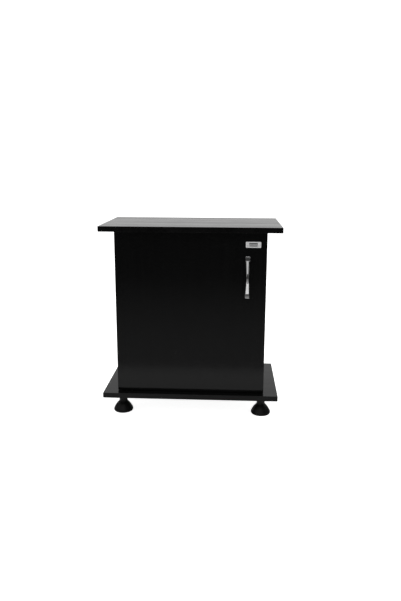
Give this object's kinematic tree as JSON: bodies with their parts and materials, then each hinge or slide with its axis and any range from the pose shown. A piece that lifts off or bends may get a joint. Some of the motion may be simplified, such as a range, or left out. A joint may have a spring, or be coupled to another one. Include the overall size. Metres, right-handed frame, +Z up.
{
  "type": "aquarium stand cabinet",
  "caption": "Black aquarium stand cabinet: overhanging top and base boards, one full-front door on pivot pins, bow handle, adjustable shelf and bell-shaped feet.",
  "frame": {"origin": "centre of the footprint, on the floor under the feet", "axes": "+Z up, -Y out of the front through the door, +X to the right of someone facing the door"},
  "size_m": [0.6, 0.35, 0.658],
  "materials": {
    "black_melamine": "gloss black melamine on chipboard",
    "black_edge_band": "gloss black edge band",
    "hardboard": "raw hardboard outside, black foil inside",
    "black_moulding": "fine grained black moulding",
    "foot_plastic": "semi-gloss black moulding",
    "rubber_pad": "matt black rubber",
    "nickel_steel": "nickel plated steel",
    "zinc_steel": "bright zinc plated steel",
    "zinc_casting": "raw zinc die casting",
    "beech": "plain beech",
    "nylon": "natural white nylon",
    "ferrite": "dark grey ferrite",
    "chrome_plate": "bright chrome plate",
    "satin_silver": "polished silver border",
    "brushed_silver": "blank brushed face"
  },
  "bodies": {
    "cabinet": {"top_board": "black_melamine", "top_board_edging": "black_edge_band", "base_board": "black_melamine", "base_board_edging": "black_edge_band", "side_panel_left": "black_melamine", "side_panel_left_edging": "black_edge_band", "side_panel_right": "black_melamine", "side_panel_right_edging": "black_edge_band", "back_panel": "hardboard", "hose_port_trim": "black_moulding", "rear_stretcher": "black_melamine", "shelf": "black_melamine", "shelf_edging": "black_edge_band", "shelf_pins": "nickel_steel", "cam_bolts": "zinc_steel", "cam_housings": "zinc_casting", "dowels": "beech", "back_panel_screws": "zinc_steel", "pivot_bush_upper": "black_moulding", "pivot_bush_lower": "black_moulding", "catch_housing": "nylon", "catch_pole_plates": "nickel_steel", "catch_magnet": "ferrite", "catch_screws": "zinc_steel", "foot_front_left": "foot_plastic", "foot_rear_left": "foot_plastic", "foot_front_right": "foot_plastic", "foot_rear_right": "foot_plastic", "foot_pads": "rubber_pad", "foot_bolts": "zinc_steel", "threaded_inserts": "zinc_casting"},
    "door": {"door_panel": "black_melamine", "door_panel_edging": "black_edge_band", "pivot_plate_upper": "nickel_steel", "pivot_plate_lower": "nickel_steel", "pivot_plate_screws": "zinc_steel", "door_bumpers": "rubber_pad", "handle": "chrome_plate", "handle_screws": "zinc_steel", "label_plate_frame": "satin_silver", "label_plate_insert": "brushed_silver", "strike_plate": "nickel_steel", "strike_screw": "zinc_steel"}
  },
  "joints": [
    {"name": "door_pivot", "type": "hinge", "parent": "cabinet", "child": "door", "pos_m": [-0.244, -0.1405, 0.36], "axis": [0, 0, -1], "range_deg": [0, 180]}
  ]
}
